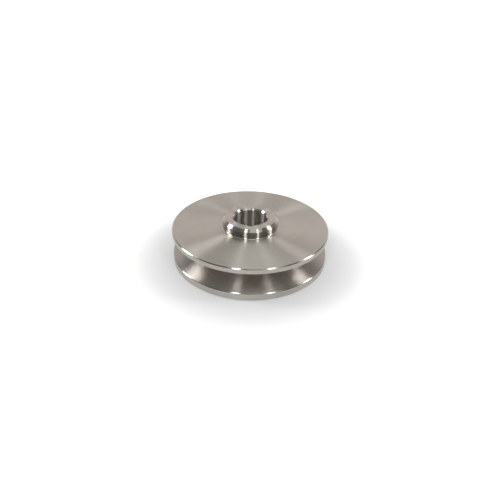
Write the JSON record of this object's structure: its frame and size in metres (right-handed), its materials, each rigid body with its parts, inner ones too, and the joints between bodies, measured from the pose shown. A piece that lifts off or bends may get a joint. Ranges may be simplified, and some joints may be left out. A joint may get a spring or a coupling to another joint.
{
  "type": "v belt pulley",
  "caption": "Solid turned steel pulley with a V groove round its rim, a short raised boss and a keyed bore through it for a shaft.",
  "frame": {"origin": "centre of the back face, on the shaft axis", "axes": "+Z along the shaft axis, from the back face towards the boss; the keyway is on the -Y side of the bore"},
  "size_m": [0.09, 0.09, 0.0254],
  "materials": {
    "turned_steel": "bright, as turned, unplated"
  },
  "bodies": {
    "root": {"pulley": "turned_steel"}
  },
  "joints": []
}
